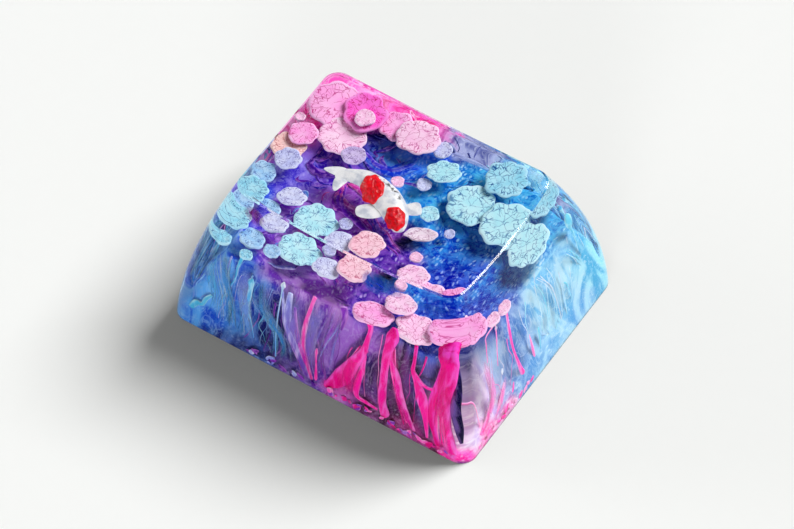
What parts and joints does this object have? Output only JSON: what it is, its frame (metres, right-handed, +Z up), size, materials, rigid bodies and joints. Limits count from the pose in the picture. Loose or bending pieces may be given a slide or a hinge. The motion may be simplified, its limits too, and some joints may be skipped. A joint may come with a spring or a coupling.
{
  "type": "artisan keycap",
  "caption": "Tall dished keycap of clear cast resin with a koi, lily pads and pigment plumes inside, hollow underneath with a cross-socket post for a switch stem.",
  "frame": {"origin": "centre of the rim, on the plane that the cap rests on", "axes": "+X along the longer side of the key, +Y to the back of the keyboard, +Z up through the dished top"},
  "size_m": [0.023, 0.0182, 0.0119],
  "materials": {
    "clear_resin": "clear cast resin, polished",
    "dark_resin": "dark blue and violet swirled cast resin",
    "koi_white": "white painted figure",
    "koi_red": "raised glossy red paint",
    "pink_pigment": "pink pigment set in the resin",
    "salmon_pigment": "salmon pigment set in the resin",
    "lilac_pigment": "lilac pigment set in the resin",
    "blue_pigment": "light blue pigment set in the resin",
    "cyan_pigment": "cyan pigment set in the resin",
    "violet_pigment": "violet pigment set in the resin",
    "pale_pigment": "pale pink pigment set in the resin"
  },
  "bodies": {
    "root": {"base_casting": "dark_resin", "blue_pad_1": "blue_pigment", "blue_pad_2": "blue_pigment", "blue_pad_3": "blue_pigment", "blue_pad_4": "blue_pigment", "blue_pad_5": "blue_pigment", "blue_pad_6": "blue_pigment", "blue_plume_1": "blue_pigment", "blue_plume_2": "blue_pigment", "clear_casting": "clear_resin", "cyan_pad_1": "cyan_pigment", "cyan_pad_2": "cyan_pigment", "cyan_pad_3": "cyan_pigment", "cyan_pad_4": "cyan_pigment", "cyan_pad_5": "cyan_pigment", "cyan_pad_6": "cyan_pigment", "cyan_plume_1": "cyan_pigment", "cyan_plume_2": "cyan_pigment", "cyan_plume_3": "cyan_pigment", "front_pad_1": "pink_pigment", "front_pad_2": "pink_pigment", "front_pad_3": "pink_pigment", "front_pad_4": "pink_pigment", "front_pad_5": "pink_pigment", "front_pad_6": "pink_pigment", "koi_back_patch": "koi_red", "koi_body": "koi_white", "koi_head_patch": "koi_red", "lilac_pad_1": "lilac_pigment", "lilac_pad_2": "lilac_pigment", "lilac_pad_3": "lilac_pigment", "lilac_pad_4": "lilac_pigment", "lilac_pad_5": "lilac_pigment", "lilac_pad_6": "lilac_pigment", "lilac_pad_7": "lilac_pigment", "pale_pad_1": "pale_pigment", "pale_pad_2": "pale_pigment", "pale_pad_3": "pale_pigment", "peach_pad": "salmon_pigment", "pink_bud": "pink_pigment", "pink_pad_1": "pink_pigment", "pink_pad_2": "pink_pigment", "pink_pad_3": "pink_pigment", "pink_pad_4": "pink_pigment", "pink_pad_5": "pink_pigment", "pink_pad_6": "pink_pigment", "pink_pad_7": "pink_pigment", "pink_pad_8": "pink_pigment", "pink_plume": "pink_pigment", "salmon_pad": "salmon_pigment", "violet_plume_1": "violet_pigment", "violet_plume_2": "violet_pigment"}
  },
  "joints": []
}
